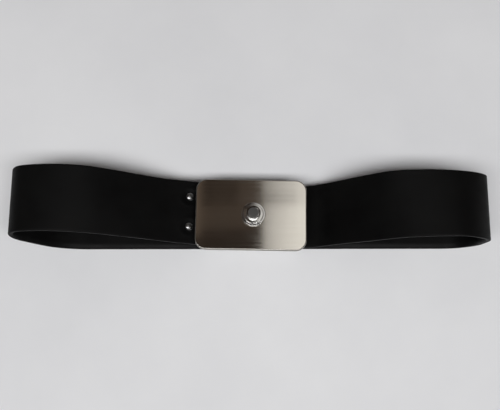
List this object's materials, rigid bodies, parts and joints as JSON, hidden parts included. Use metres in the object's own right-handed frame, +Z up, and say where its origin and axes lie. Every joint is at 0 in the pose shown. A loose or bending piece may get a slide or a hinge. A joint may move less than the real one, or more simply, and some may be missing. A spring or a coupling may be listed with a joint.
{
  "type": "antistatic wrist strap",
  "caption": "Closed loop of flat black rubber band, joined by a hinged brushed steel clamp plate that carries a snap stud for a ground cord.",
  "frame": {"origin": "on the resting surface, under the middle of the closed loop's bounding box", "axes": "+X along the loop, towards the end that feeds the clamp; +Y across the band; +Z up, out of the clamp plate"},
  "size_m": [0.1318, 0.0213, 0.0241],
  "materials": {
    "band_outer": "semi-gloss black moulded rubber",
    "band_lining": "matt black conductive rubber",
    "steel_satin": "satin stainless sheet",
    "steel_bright": "bright stainless",
    "cover_brushed": "stainless brushed along its length",
    "cam_steel": "hardened steel",
    "stud_chrome": "polished",
    "rivet_gunmetal": "dark polished"
  },
  "bodies": {
    "band": {"strap_band": "band_outer", "strap_lining": "band_lining", "tail_tip": "steel_bright", "frame_channel": "steel_satin", "anchor_tongue": "steel_satin", "anchor_rivets": "steel_bright", "strap_rivet_caps": "rivet_gunmetal", "strap_rivet_posts": "rivet_gunmetal", "strap_rivet_washers": "steel_bright", "grip_plate": "steel_satin", "grip_rivets": "steel_bright", "hinge_pin": "steel_bright", "hinge_pin_ring": "steel_bright", "hinge_spacers": "steel_bright"},
    "cover": {"cover_plate": "cover_brushed", "cover_bracket": "steel_satin", "clamp_cam": "cam_steel", "cam_drive_pin": "steel_bright", "snap_stud": "stud_chrome", "stud_post": "stud_chrome", "stud_washer": "steel_bright"}
  },
  "joints": [
    {"name": "cover_hinge", "type": "hinge", "parent": "band", "child": "cover", "pos_m": [0.01227, 0.00069, 0.0049], "axis": [0.0175, 0.9998, 0], "range_deg": [0, 45]}
  ]
}
